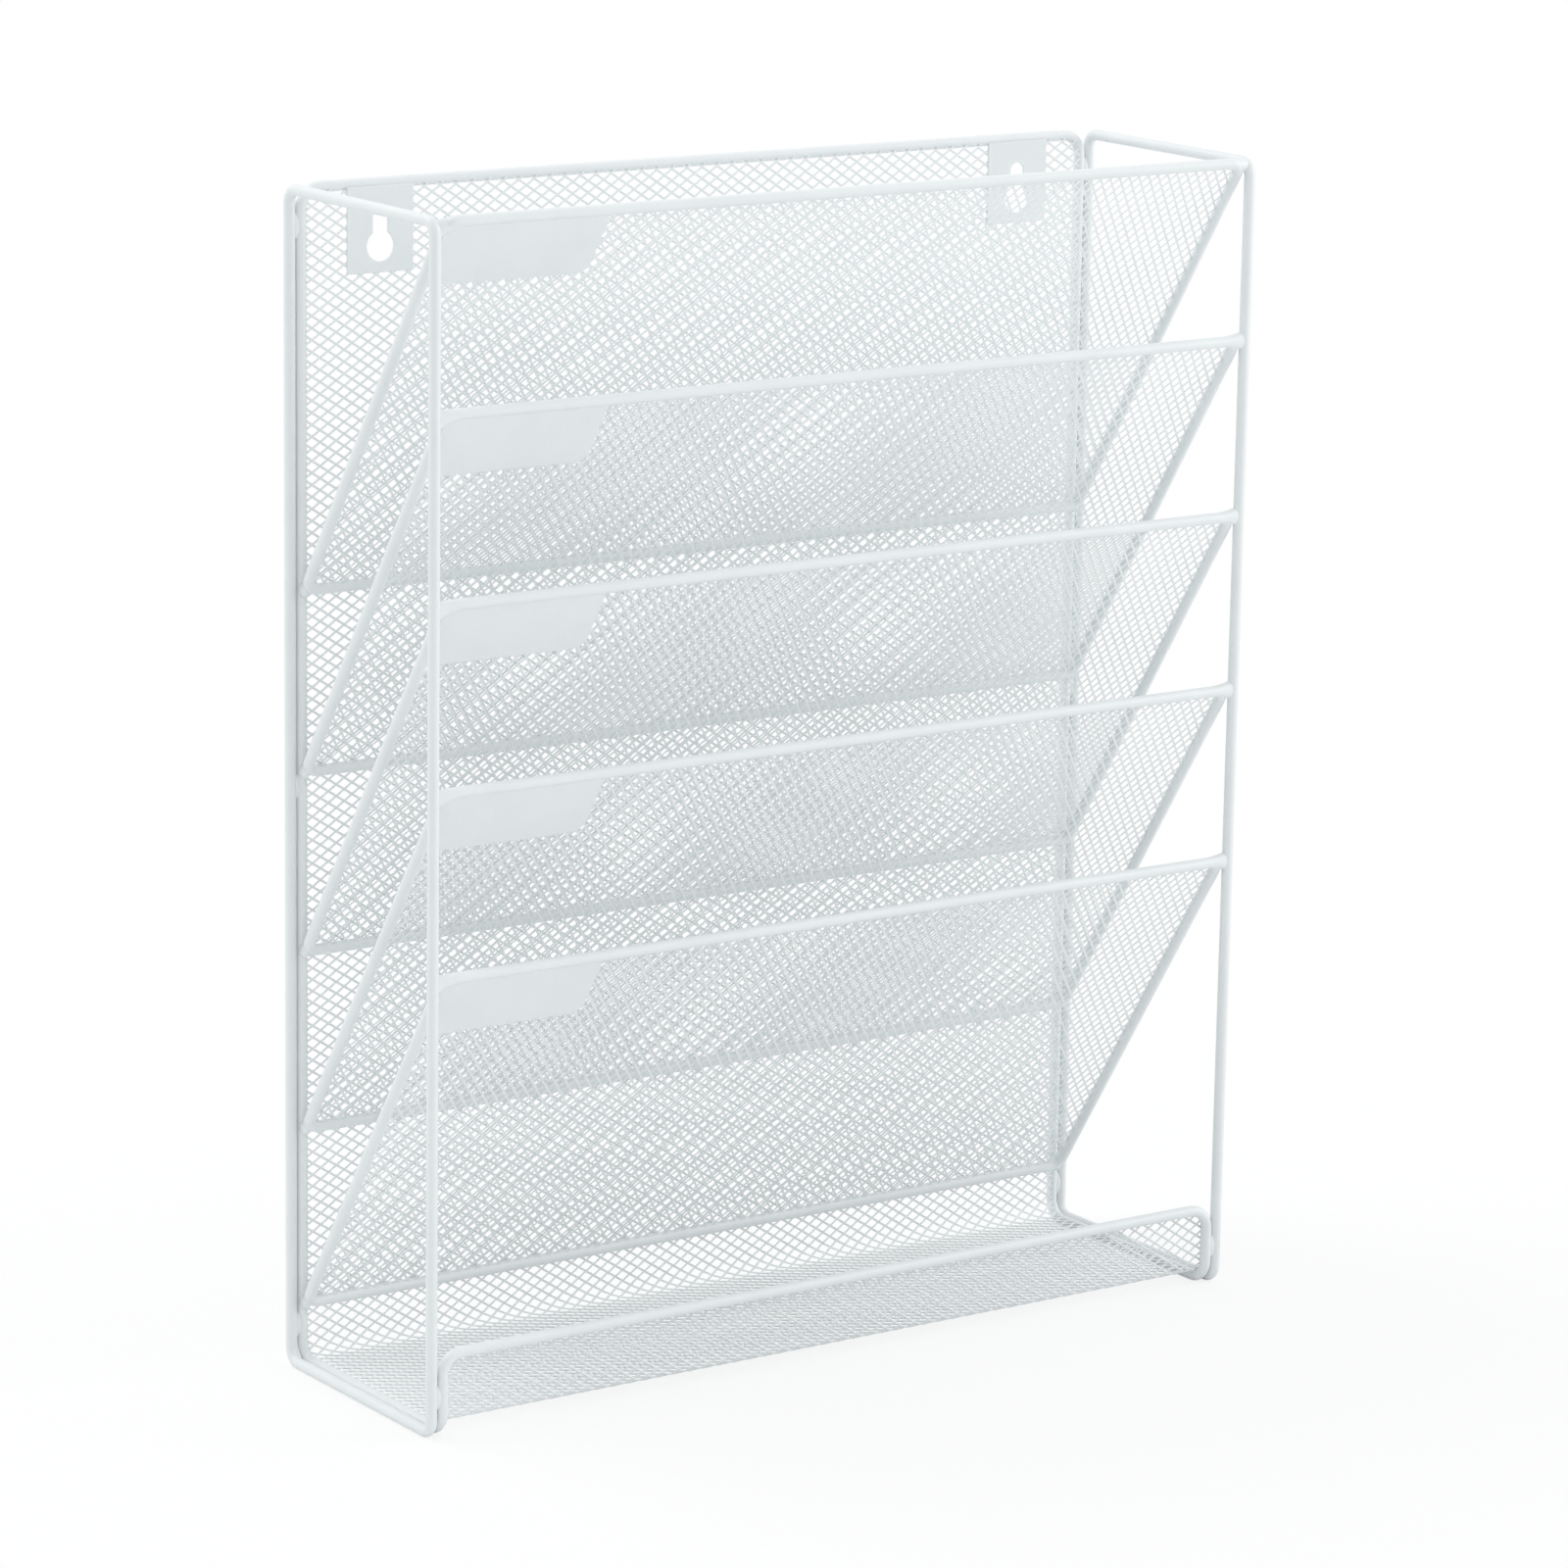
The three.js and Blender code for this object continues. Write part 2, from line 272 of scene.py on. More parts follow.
class OrganizerWeld(bpy.types.PropertyGroup):
    collar_reach: FloatProperty(
        name="Collar reach",
        description="From a panel's end to where the collar on its top wire begins to widen",
        default=0.0065,
        unit="LENGTH",
    )
    corner_collar: FloatProperty(
        name="Corner collar",
        description="Half height at the upright of the collar in the right frame's corner",
        default=0.0023,
        unit="LENGTH",
    )
    right_collar: FloatProperty(
        name="Right collar",
        description="Half height at the upright of the other collars on the right",
        default=0.0036,
        unit="LENGTH",
    )
    left_collar: FloatProperty(
        name="Left collar",
        description="Half height at the upright of the collars on the left",
        default=0.0037,
        unit="LENGTH",
    )
    left_sag: FloatProperty(
        name="Left sag",
        description="How far the collars on the left hang down at the upright",
        default=0.0019,
        unit="LENGTH",
    )
    collar_steps: IntProperty(name="Collar steps", description="Steps along a collar", default=8)
    foot_bead: FloatVectorProperty(
        name="Foot bead",
        description="Half sizes of the weld bead between a panel's foot and an upright of the body",
        default=(0.0018, 0.0028, 0.0026),
        unit="LENGTH",
    )
    side_bead: FloatVectorProperty(
        name="Side bead",
        description="Half sizes of the weld bead between two wires that run side by side",
        default=(0.0018, 0.0016, 0.0042),
        unit="LENGTH",
    )
    side_bead_height: FloatProperty(
        name="Side bead height",
        description="From the floor wires up to the lowest side beads, and from the top down to the highest",
        default=0.012,
        unit="LENGTH",
    )


class OrganizerFinish(bpy.types.PropertyGroup):
    white: FloatVectorProperty(
        name="White",
        description="Colour of the powder coat",
        subtype="COLOR",
        default=(0.82, 0.85, 0.855),
    )
    shade: FloatVectorProperty(
        name="Shade",
        description="Colour of the powder coat where it lies thin",
        subtype="COLOR",
        default=(0.798, 0.83, 0.835),
    )
    wire_roughness: FloatProperty(name="Wire roughness", description="Sheen of the wire", default=0.38)
    mesh_roughness: FloatProperty(name="Mesh roughness", description="Sheen of the mesh", default=0.48)
    plate_roughness: FloatProperty(name="Plate roughness", description="Sheen of the plates", default=0.42)
    grain: FloatProperty(
        name="Grain",
        description="Size of the ripples in the powder coat",
        default=0.0012,
        unit="LENGTH",
    )
    wire_ripple: FloatProperty(
        name="Wire ripple",
        description="Height of the ripples on the wire",
        default=0.00010,
        unit="LENGTH",
    )
    mesh_ripple: FloatProperty(
        name="Mesh ripple",
        description="Height of the ripples on the mesh",
        default=0.00005,
        unit="LENGTH",
    )
    plate_ripple: FloatProperty(
        name="Plate ripple",
        description="Height of the ripples on the plates",
        default=0.00008,
        unit="LENGTH",
    )


class OrganizerStage(bpy.types.PropertyGroup):
    camera_place: FloatVectorProperty(
        name="Camera place",
        description="Where the camera stands",
        default=(-1.1315, -1.6475, 0.6463),
        unit="LENGTH",
    )
    azimuth: FloatProperty(
        name="Azimuth",
        description="Turn of the camera about the vertical, from looking along Y",
        default=math.radians(-34.59),
        unit="ROTATION",
    )
    elevation: FloatProperty(
        name="Elevation",
        description="Angle by which the camera looks down",
        default=math.radians(12.913),
        unit="ROTATION",
    )
    roll: FloatProperty(
        name="Roll",
        description="Turn of the camera about its own line of sight",
        default=math.radians(0.936),
        unit="ROTATION",
    )
    view_angle: FloatProperty(
        name="View angle",
        description="Width of the camera's view",
        default=math.radians(14.523),
        unit="ROTATION",
    )
    ambient: FloatProperty(
        name="Ambient",
        description="Strength of the light all round",
        default=0.8,
    )
    key: FloatProperty(
        name="Key",
        description="Power of the lamp behind and above, on the left",
        default=30.0,
        unit="POWER",
    )
    key_place: FloatVectorProperty(
        name="Key place",
        description="Where the lamp behind stands",
        default=(-1.11, 1.32, 2.66),
        unit="LENGTH",
    )
    fill: FloatProperty(
        name="Fill",
        description="Power of the lamp at the front, on the right",
        default=26.5,
        unit="POWER",
    )
    fill_place: FloatVectorProperty(
        name="Fill place",
        description="Where the lamp at the front stands",
        default=(2.44, -1.41, 1.23),
        unit="LENGTH",
    )
    lamp_size: FloatProperty(
        name="Lamp size",
        description="Side of each lamp",
        default=2.0,
        unit="LENGTH",
    )


class OrganizerSettings(bpy.types.PropertyGroup):
    wire: PointerProperty(type=OrganizerWire, name="Wire", description="Wire and bends")
    mesh: PointerProperty(type=OrganizerMesh, name="Mesh", description="Diamond mesh")
    plate: PointerProperty(type=OrganizerPlate, name="Plate", description="Label and hanging plates")
    weld: PointerProperty(type=OrganizerWeld, name="Weld", description="Weld beads")
    finish: PointerProperty(type=OrganizerFinish, name="Finish", description="Powder coat")
    stage: PointerProperty(type=OrganizerStage, name="Stage", description="Camera and lights")


def settings():
    return bpy.context.scene.organizer


def add_piece(name, bm, slot, *nodes, smooth=True):
    """Makes a finished bmesh a piece of the organizer, which stands for the nodes it replaces."""
    data = bpy.data.meshes.new(name)
    bm.to_mesh(data)
    bm.free()
    if smooth:
        data.shade_smooth()
    data.materials.append(powder_coat(slot))
    piece = bpy.data.objects.new(name, data)
    bpy.context.scene.collection.objects.link(piece)
    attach(piece, BODY)
    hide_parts(*nodes)


def clean(bm):
    """Merges what meets and turns every face outwards."""
    bmesh.ops.remove_doubles(bm, verts=bm.verts, dist=MERGE_DISTANCE)
    bmesh.ops.recalc_face_normals(bm, faces=bm.faces)


def of_kind(geometry, kind):
    return [item for item in geometry if isinstance(item, kind)]


def edges_of(verts):
    """The edges at some vertices, each once and in the same order on every run."""
    return list(dict.fromkeys(e for v in verts for e in v.link_edges))


def coat_group():
    """The powder coat's ripples, cloudy tone and sheen, shared by every finish."""
    name = "powder coat"
    if name in bpy.data.node_groups:
        return bpy.data.node_groups[name]
    group = bpy.data.node_groups.new(name, "ShaderNodeTree")
    for label, kind in (
        ("Place", "NodeSocketVector"),
        ("White", "NodeSocketColor"),
        ("Shade", "NodeSocketColor"),
        ("Grain", "NodeSocketFloat"),
        ("Roughness", "NodeSocketFloat"),
    ):
        group.interface.new_socket(label, in_out="INPUT", socket_type=kind)
    for label, kind in (
        ("Color", "NodeSocketColor"),
        ("Roughness", "NodeSocketFloat"),
        ("Height", "NodeSocketFloat"),
    ):
        group.interface.new_socket(label, in_out="OUTPUT", socket_type=kind)
    nodes = group.nodes
    link = group.links.new
    given = nodes.new("NodeGroupInput")
    result = nodes.new("NodeGroupOutput")

    per_metre = nodes.new("ShaderNodeMath")
    per_metre.operation = "DIVIDE"
    per_metre.inputs[0].default_value = 1
    link(given.outputs["Grain"], per_metre.inputs[1])
    ripples = nodes.new("ShaderNodeTexNoise")
    ripples.inputs["Detail"].default_value = 2
    link(given.outputs["Place"], ripples.inputs["Vector"])
    link(per_metre.outputs[0], ripples.inputs["Scale"])
    link(ripples.outputs["Fac"], result.inputs["Height"])

    clouds = nodes.new("ShaderNodeTexNoise")
    clouds.inputs["Scale"].default_value = 70
    clouds.inputs["Detail"].default_value = 4
    link(given.outputs["Place"], clouds.inputs["Vector"])
    spread = nodes.new("ShaderNodeMapRange")
    spread.inputs["From Min"].default_value = 0.35
    spread.inputs["From Max"].default_value = 0.7
    link(clouds.outputs["Fac"], spread.inputs["Value"])
    tone = nodes.new("ShaderNodeMix")
    tone.data_type = "RGBA"
    link(spread.outputs[0], tone.inputs["Factor"])
    link(given.outputs["White"], tone.inputs["A"])
    link(given.outputs["Shade"], tone.inputs["B"])
    link(tone.outputs["Result"], result.inputs["Color"])

    sheen = nodes.new("ShaderNodeMapRange")
    sheen.inputs["To Min"].default_value = -0.06
    sheen.inputs["To Max"].default_value = 0.08
    link(ripples.outputs["Fac"], sheen.inputs["Value"])
    total = nodes.new("ShaderNodeMath")
    link(given.outputs["Roughness"], total.inputs[0])
    link(sheen.outputs[0], total.inputs[1])
    link(total.outputs[0], result.inputs["Roughness"])
    return group


def powder_coat(slot):
    """The white powder coat of the wire, the mesh or the plates, each with its own sheen and ripples."""
    name = f"powder coat on {slot}"
    if name in bpy.data.materials:
        return bpy.data.materials[name]
    finish = settings().finish
    roughness, ripple_height = {
        "wire": (finish.wire_roughness, finish.wire_ripple),
        "mesh": (finish.mesh_roughness, finish.mesh_ripple),
        "plate": (finish.plate_roughness, finish.plate_ripple),
    }[slot]
    material = bpy.data.materials.new(name)
    material.use_nodes = True
    nodes = material.node_tree.nodes
    link = material.node_tree.links.new
    shader = nodes["Principled BSDF"]
    shader.inputs["Metallic"].default_value = 0
    shader.inputs["IOR"].default_value = 1.48
    shader.inputs["Coat Weight"].default_value = 0.12
    shader.inputs["Coat Roughness"].default_value = 0.18
    place = nodes.new("ShaderNodeTexCoord")
    coat = nodes.new("ShaderNodeGroup")
    coat.node_tree = coat_group()
    coat.inputs["White"].default_value = (*finish.white, 1)
    coat.inputs["Shade"].default_value = (*finish.shade, 1)
    coat.inputs["Grain"].default_value = finish.grain
    coat.inputs["Roughness"].default_value = roughness
    bump = nodes.new("ShaderNodeBump")
    bump.inputs["Distance"].default_value = ripple_height
    bump.inputs["Strength"].default_value = 0.5
    link(place.outputs["Object"], coat.inputs["Place"])
    link(coat.outputs["Color"], shader.inputs["Base Color"])
    link(coat.outputs["Roughness"], shader.inputs["Roughness"])
    link(coat.outputs["Height"], bump.inputs["Height"])
    link(bump.outputs["Normal"], shader.inputs["Normal"])
    return material


def draw_out(bm, ring, step):
    """Lengthens a tube by a straight run and gives the new ring of edges."""
    drawn = bmesh.ops.extrude_edge_only(bm, edges=ring)["geom"]
    bmesh.ops.translate(bm, verts=of_kind(drawn, bmesh.types.BMVert), vec=step)
    fresh = set(of_kind(drawn, bmesh.types.BMVert))
    return [e for e in of_kind(drawn, bmesh.types.BMEdge) if set(e.verts) <= fresh]


def bent_wire(corners, bend):
    """A closed run of wire, drawn out straight and spun round at each corner."""
    wire = settings().wire
    bm = bmesh.new()
    start = (corners[-1] + corners[0]) / 2
    turned = (corners[0] - start).to_track_quat("Z", "Y").to_matrix().to_4x4()
    circle = bmesh.ops.create_circle(
        bm,
        cap_ends=False,
        segments=wire.sides,
        radius=wire_radius,
        matrix=Matrix.Translation(start) @ turned,
    )
    ring = edges_of(circle["verts"])
    place = start
    for corner, after in zip(corners, corners[1:] + corners[:1]):
        heading = (corner - place).normalized()
        leaving = (after - corner).normalized()
        angle = heading.angle(leaving)
        reach = bend * math.tan(angle / 2)
        axis = heading.cross(leaving).normalized()
        arc_start = corner - heading * reach
        ring = draw_out(bm, ring, arc_start - place)
        spun = bmesh.ops.spin(
            bm,
            geom=ring,
            cent=arc_start + axis.cross(heading) * bend,
            axis=axis,
            dvec=(0, 0, 0),
            angle=angle,
            steps=wire.steps,
            use_merge=False,
            use_duplicate=False,
        )
        ring = of_kind(spun["geom_last"], bmesh.types.BMEdge)
        place = corner + leaving * reach
    draw_out(bm, ring, start - place)
    clean(bm)
    return bm


def frame_corners(x):
    """The corners of a side frame, in the plane at that distance from the middle."""
    return [
        Vector((x, frame_low.y, frame_low.z)),
        Vector((x, frame_high.y, frame_low.z)),
        Vector((x, frame_high.y, frame_high.z)),
        Vector((x, frame_low.y, frame_high.z)),
    ]


def body_corners():
    """The corners of the body wire: lip, floor, back and top."""
    left, right = body_low.x, body_high.x
    front, back = body_low.y, body_high.y
    floor, top = body_low.z, body_high.z
    return [
        Vector((left, front, lip_height)),
        Vector((left, front, floor)),
        Vector((left, back, floor)),
        Vector((left, back, top)),
        Vector((right, back, top)),
        Vector((right, back, floor)),
        Vector((right, front, floor)),
        Vector((right, front, lip_height)),
    ]


def flat_diamonds(width, length, pitch):
    """A flat sheet of whole diamonds, X across and Y along, centred on the origin.

    A plain grid is poked, and its own lines dissolved, so that the diamonds lie between the points.
    """
    bm = bmesh.new()
    bmesh.ops.create_grid(
        bm,
        x_segments=round(width / pitch[0]),
        y_segments=round(length / pitch[1]),
        size=0.5,
        matrix=Matrix.Diagonal((width, length, 1, 1)),
    )
    lines = [e for e in bm.edges if not e.is_boundary]
    bmesh.ops.poke(bm, faces=bm.faces[:])
    bmesh.ops.dissolve_edges(bm, edges=lines, use_verts=False)
    return bm


def round_corners(bm, width, length, radius):
    """Draws the sheet's corners in to the bends of the wire that holds it."""
    inner = Vector((width / 2 - radius, length / 2 - radius))
    for v in bm.verts:
        beyond = Vector((abs(v.co.x), abs(v.co.y))) - inner
        if min(beyond) > 0 and beyond.length > radius:
            drawn = inner + beyond.normalized() * radius
            v.co.x = math.copysign(drawn.x, v.co.x)
            v.co.y = math.copysign(drawn.y, v.co.y)


def open_diamonds(bm, knuckles, short_axis, short_pitch, keel):
    """Opens each diamond. Its strands are ribbons with a keel, twisted as the slit sheet was drawn open.

    The keel stands off at the knuckles, to the side that the sign of its depth tells. Where the sheet is
    parted between knuckles, walls close the strands.
    """
    mesh = settings().mesh
    knuckles = {v for v in knuckles if v.is_valid}
    parted = [e for e in bm.edges if e.is_boundary and not knuckles.isdisjoint(e.verts)]
    diamonds = bm.faces[:]
    bmesh.ops.inset_individual(bm, faces=diamonds, thickness=mesh.strand / 2, use_even_offset=True)
    for diamond in diamonds:
        middle = diamond.calc_center_median()[short_axis]
        for v in diamond.verts:
            v.co.z += mesh.twist * (v.co[short_axis] - middle) / (short_pitch / 2)
    bmesh.ops.delete(bm, geom=diamonds, context="FACES_ONLY")
    copied = bmesh.ops.duplicate(bm, geom=bm.verts[:] + bm.edges[:] + bm.faces[:])
    bmesh.ops.reverse_faces(bm, faces=of_kind(copied["geom"], bmesh.types.BMFace))
    for e in parted:
        bmesh.ops.contextual_create(bm, geom=[e, copied["edge_map"][e]])
    for v in knuckles:
        copied["vert_map"][v].co.z += keel


def fold(reach, start, heading, runs):
    """Place and heading at a reach along a strip, in the plane across its bends.

    Each run has a length and the angle that it turns through on the way.
    """
    place, angle = start, heading
    for number, (length, turn) in enumerate(runs):
        last = number == len(runs) - 1
        step = reach if last else min(reach, length)
        ahead = Vector((math.cos(angle), math.sin(angle)))
        aside = Vector((-ahead.y, ahead.x))
        if turn:
            radius = length / turn
            swept = step / radius
            place = place + ahead * (radius * math.sin(swept)) + aside * (radius * (1 - math.cos(swept)))
            angle += swept
        else:
            place = place + ahead * step
        reach -= step
        if reach <= 0:
            break
    return place, angle


def body_sheet(part):
    """The mesh of lip, tray and back: one sheet on the inner side of the wire, folded twice with its bends.

    It is made in two parts, which meet knuckle to knuckle where the back rises from the tray.
    """
    bend = settings().wire.body_bend
    mesh = settings().mesh
    depth = body_high.y - body_low.y
    turn = ((bend - mesh.stand_off) * QUARTER, QUARTER)
    runs = [
        (lip_height - body_low.z - bend, 0),
        turn,
        (depth - 2 * bend, 0),
        turn,
        (body_high.z - body_low.z - bend, 0),
    ]
    width = body_high.x - body_low.x
    length = sum(run[0] for run in runs)
    bm = flat_diamonds(width, length, mesh.body_pitch)
    round_corners(bm, width, length, bend)
    for v in bm.verts:
        if v.is_boundary:
            v.co.z = -mesh.rim_sink
    plates = plate_places(length)
    for low, high in plates:
        hidden = [
            face
            for face in bm.faces
            if all(low.x < v.co.x < high.x and low.y < v.co.y for v in face.verts)
        ]
        bmesh.ops.delete(bm, geom=hidden, context="FACES")
    knuckles = [v for v in bm.verts if not v.is_boundary]
    back_starts = length - runs[-1][0] - length / 2
    other_part = [f for f in bm.faces if (f.calc_center_median().y < back_starts) != (part == "tray")]
    bmesh.ops.delete(bm, geom=other_part, context="FACES")
    open_diamonds(bm, knuckles, 1, mesh.body_pitch[1], -mesh.thickness)
    for low, high in plates:
        for v in bm.verts:
            if low.x < v.co.x < high.x and low.y < v.co.y < high.y:
                v.co.z *= GRIPPED_SHARE
    bmesh.ops.remove_doubles(bm, verts=bm.verts, dist=MERGE_DISTANCE)
    start = Vector((body_low.y + mesh.stand_off, lip_height))
    for v in bm.verts:
        place, angle = fold(v.co.y + length / 2, start, -QUARTER, runs)
        through = Vector((-math.sin(angle), math.cos(angle))) * v.co.z
        v.co = Vector((v.co.x, place.x + through.x, place.y + through.y))
    bmesh.ops.recalc_face_normals(bm, faces=bm.faces)
    return bm


def plate_places(length):
    """Where the hanging plates lie on the flat body sheet, up to the sheet's end."""
    places = []
    for side in SIDES:
        low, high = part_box(f"hanging_plate_{side}")
        foot = length / 2 - (body_high.z - low.z)
        places.append((Vector((low.x, foot)), Vector((high.x, length / 2))))
    return places


def panel_sheet(panel):
    """The mesh of one slanted panel, with the long way of its diamonds down the slope."""
    width = 2 * panel.half_width
    mesh = settings().mesh
    bm = flat_diamonds(width, panel.length, mesh.panel_pitch)
    round_corners(bm, width, panel.length, settings().wire.panel_bend)
    knuckles = [v for v in bm.verts if not v.is_boundary]
    open_diamonds(bm, knuckles, 0, mesh.panel_pitch[0], mesh.thickness)
    bmesh.ops.remove_doubles(bm, verts=bm.verts, dist=MERGE_DISTANCE)
    down_the_slope = Matrix.Translation((0, panel.length / 2, 0))
    bmesh.ops.transform(bm, matrix=panel.matrix() @ down_the_slope, verts=bm.verts)
    bmesh.ops.recalc_face_normals(bm, faces=bm.faces)
    return bm


def round_rim(bm):
    """Rounds the sharp rim of a plate a little, as the powder coat does."""
    rim = [e for e in bm.edges if len(e.link_faces) == 2 and e.calc_face_angle() > RIM_ANGLE]
    bmesh.ops.bevel(
        bm,
        geom=rim,
        offset=settings().plate.rim,
        offset_type="OFFSET",
        segments=RIM_SEGMENTS,
        profile=0.5,
        affect="EDGES",
        material=-1,
    )


def thicken(bm, thickness):
    """Gives a flat outline its thickness, towards +Z, and a rounded rim, which alone is shaded smooth."""
    bmesh.ops.dissolve_limit(bm, angle_limit=STRAIGHT_ANGLE, verts=bm.verts, edges=bm.edges)
    raised = bmesh.ops.extrude_face_region(bm, geom=bm.faces[:])["geom"]
    bmesh.ops.translate(bm, verts=of_kind(raised, bmesh.types.BMVert), vec=(0, 0, thickness))
    bmesh.ops.recalc_face_normals(bm, faces=bm.faces)
    round_rim(bm)
    bm.normal_update()
    for face in bm.faces:
        face.smooth = abs(face.normal.z) < LEVEL_SHARE


def arc(bm, start, centre, angle, steps):
    """Spins a point into an arc in the XY plane and gives the point at its end."""
    spun = bmesh.ops.spin(
        bm,
        geom=[start],
        cent=(*centre, 0),
        axis=(0, 0, 1),
        dvec=(0, 0, 0),
        angle=angle,
        steps=steps,
        use_merge=False,
        use_duplicate=False,
    )
    return of_kind(spun["geom_last"], bmesh.types.BMVert)[0]


def label_plate(panel):
    """A label plate on the front of its panel's mesh, welded into the top wire and the left side wire."""
    plate = settings().plate
    node = f"label_plate_{panel.number}"
    left, top = plate.tuck - panel.half_width, plate.tuck
    right = extent(node, panel.across, panel.top)[1]
    bottom = extent(node, panel.down, panel.top)[1]
    front, back = extent(node, panel.facing, panel.top)
    upper_radius = settings().wire.panel_bend - plate.tuck
    bm = bmesh.new()
    first = bm.verts.new((left, top + upper_radius, 0))
    after_arc = arc(bm, first, (left + upper_radius, top + upper_radius), QUARTER, plate.arc_steps)
    upper_right = bm.verts.new((right, top, 0))
    before_arc = bm.verts.new((right, bottom - plate.label_corner, 0))
    lower_centre = (right - plate.label_corner, bottom - plate.label_corner)
    end_of_arc = arc(bm, before_arc, lower_centre, QUARTER, plate.arc_steps)
    lower_left = bm.verts.new((left, bottom, 0))
    for pair in (
        (after_arc, upper_right),
        (upper_right, before_arc),
        (end_of_arc, lower_left),
        (lower_left, first),
    ):
        bm.edges.new(pair)
    bmesh.ops.contextual_create(bm, geom=bm.edges[:])
    thicken(bm, back - front)
    place = panel.matrix() @ Matrix.Translation((0, 0, front))
    bmesh.ops.transform(bm, matrix=place, verts=bm.verts)
    bmesh.ops.recalc_face_normals(bm, faces=bm.faces)
    return bm


def hanging_plate(side):
    """A plate let into the back mesh and welded to the top wire, with a keyhole for the head of a screw."""
    plate = settings().plate
    low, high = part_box(f"hanging_plate_{side}")
    width, height = high.x - low.x, high.z - low.z
    top = body_high.z - plate.lap - high.z
    radius, half_slot = plate.keyhole / 2, plate.slot / 2
    opening = math.asin(half_slot / radius)
    neck = radius * math.cos(opening)
    bm = bmesh.new()
    corners = [
        bm.verts.new((x, y, 0))
        for x, y in ((-width / 2, top), (-width / 2, -height), (width / 2, -height), (width / 2, top))
    ]
    for here, there in zip(corners, corners[1:] + corners[:1]):
        bm.edges.new((here, there))
    neck_left = bm.verts.new((-half_slot, neck - plate.drop, 0))
    neck_right = arc(bm, neck_left, (0, -plate.drop), math.tau - 2 * opening, 4 * plate.arc_steps)
    slot_right = bm.verts.new((half_slot, plate.reach - plate.drop, 0))
    slot_left = arc(bm, slot_right, (0, plate.reach - plate.drop), math.pi, 2 * plate.arc_steps)
    bm.edges.new((neck_right, slot_right))
    bm.edges.new((slot_left, neck_left))
    bmesh.ops.triangle_fill(bm, use_beauty=True, use_dissolve=False, edges=bm.edges[:])
    thicken(bm, high.y - low.y)
    upright = Matrix.Rotation(QUARTER, 4, "X")
    rear = high.y - settings().mesh.stand_off
    place = Matrix.Translation(((low.x + high.x) / 2, rear, high.z)) @ upright
    bmesh.ops.transform(bm, matrix=place, verts=bm.verts)
    bmesh.ops.recalc_face_normals(bm, faces=bm.faces)
    return bm


def bead(bm, place, half_sizes):
    """One rounded bead of weld under the powder coat."""
    shape = Matrix.Translation(place) @ Matrix.Diagonal((*half_sizes, 1))
    bmesh.ops.create_icosphere(bm, subdivisions=BEAD_SUBDIVISIONS, radius=1, matrix=shape)


def collar(bm, start, end, half_height, sag):
    """A collar of weld on a panel's top wire, which widens and sags towards the upright it enters."""
    steps = settings().weld.collar_steps
    ring = bmesh.ops.create_circle(
        bm,
        cap_ends=False,
        segments=settings().wire.sides,
        radius=wire_radius * SUNK_SHARE,
        matrix=Matrix.Translation(start) @ Matrix.Rotation(QUARTER, 4, "Y"),
    )
    edges = edges_of(ring["verts"])
    first = edges
    height = depth = wire_radius * SUNK_SHARE
    place = start
    for number in range(1, steps + 1):
        growth = (number / steps) ** 2
        ahead = start.lerp(end, number / steps) - Vector((0, 0, sag * growth))
        edges = draw_out(bm, edges, ahead - place)
        place = ahead
        widened = wire_radius * SUNK_SHARE + (half_height - wire_radius) * growth
        narrowed = wire_radius * (SUNK_SHARE - COLLAR_SINKS * growth)
        bmesh.ops.scale(
            bm,
            vec=(1, narrowed / depth, widened / height),
            space=Matrix.Translation(-place),
            verts=list(dict.fromkeys(v for e in edges for v in e.verts)),
        )
        height, depth = widened, narrowed
    for rim in (first, edges):
        bmesh.ops.contextual_create(bm, geom=rim)


def weld_beads(side):
    """The welds along one side: at the panels' tops and feet, beside the lip, and down the back."""
    weld = settings().weld
    sign = SIDES[side]
    sag = weld.left_sag if side == "left" else 0
    upright = sum(corner.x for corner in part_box(f"side_frame_{side}")) / 2
    bm = bmesh.new()
    for number in PANELS:
        panel = Panel(number)
        drawn_in = settings().wire.frame_bend * (1 - math.sqrt(0.5)) if number == 1 else 0
        if side == "left":
            half_height = weld.left_collar
        else:
            half_height = weld.right_collar if number > 1 else weld.corner_collar
        start = Vector((sign * (panel.half_width - weld.collar_reach), panel.top.y, panel.top.z))
        end = Vector((upright, panel.top.y + drawn_in, panel.top.z - drawn_in))
        collar(bm, start, end, half_height, sag)
        foot = panel.top + panel.down * panel.length
        bead(bm, (sign * body_high.x, (foot.y + body_high.y) / 2, foot.z), weld.foot_bead)
    between = (sign * body_high.x + upright) / 2
    for y, z in (
        (frame_low.y, frame_low.z + weld.side_bead_height),
        (frame_high.y, frame_low.z + weld.side_bead_height),
        (frame_high.y, frame_high.z - weld.side_bead_height),
        (frame_high.y, (frame_low.z + frame_high.z) / 2),
    ):
        bead(bm, (between, y, z), weld.side_bead)
    clean(bm)
    return bm


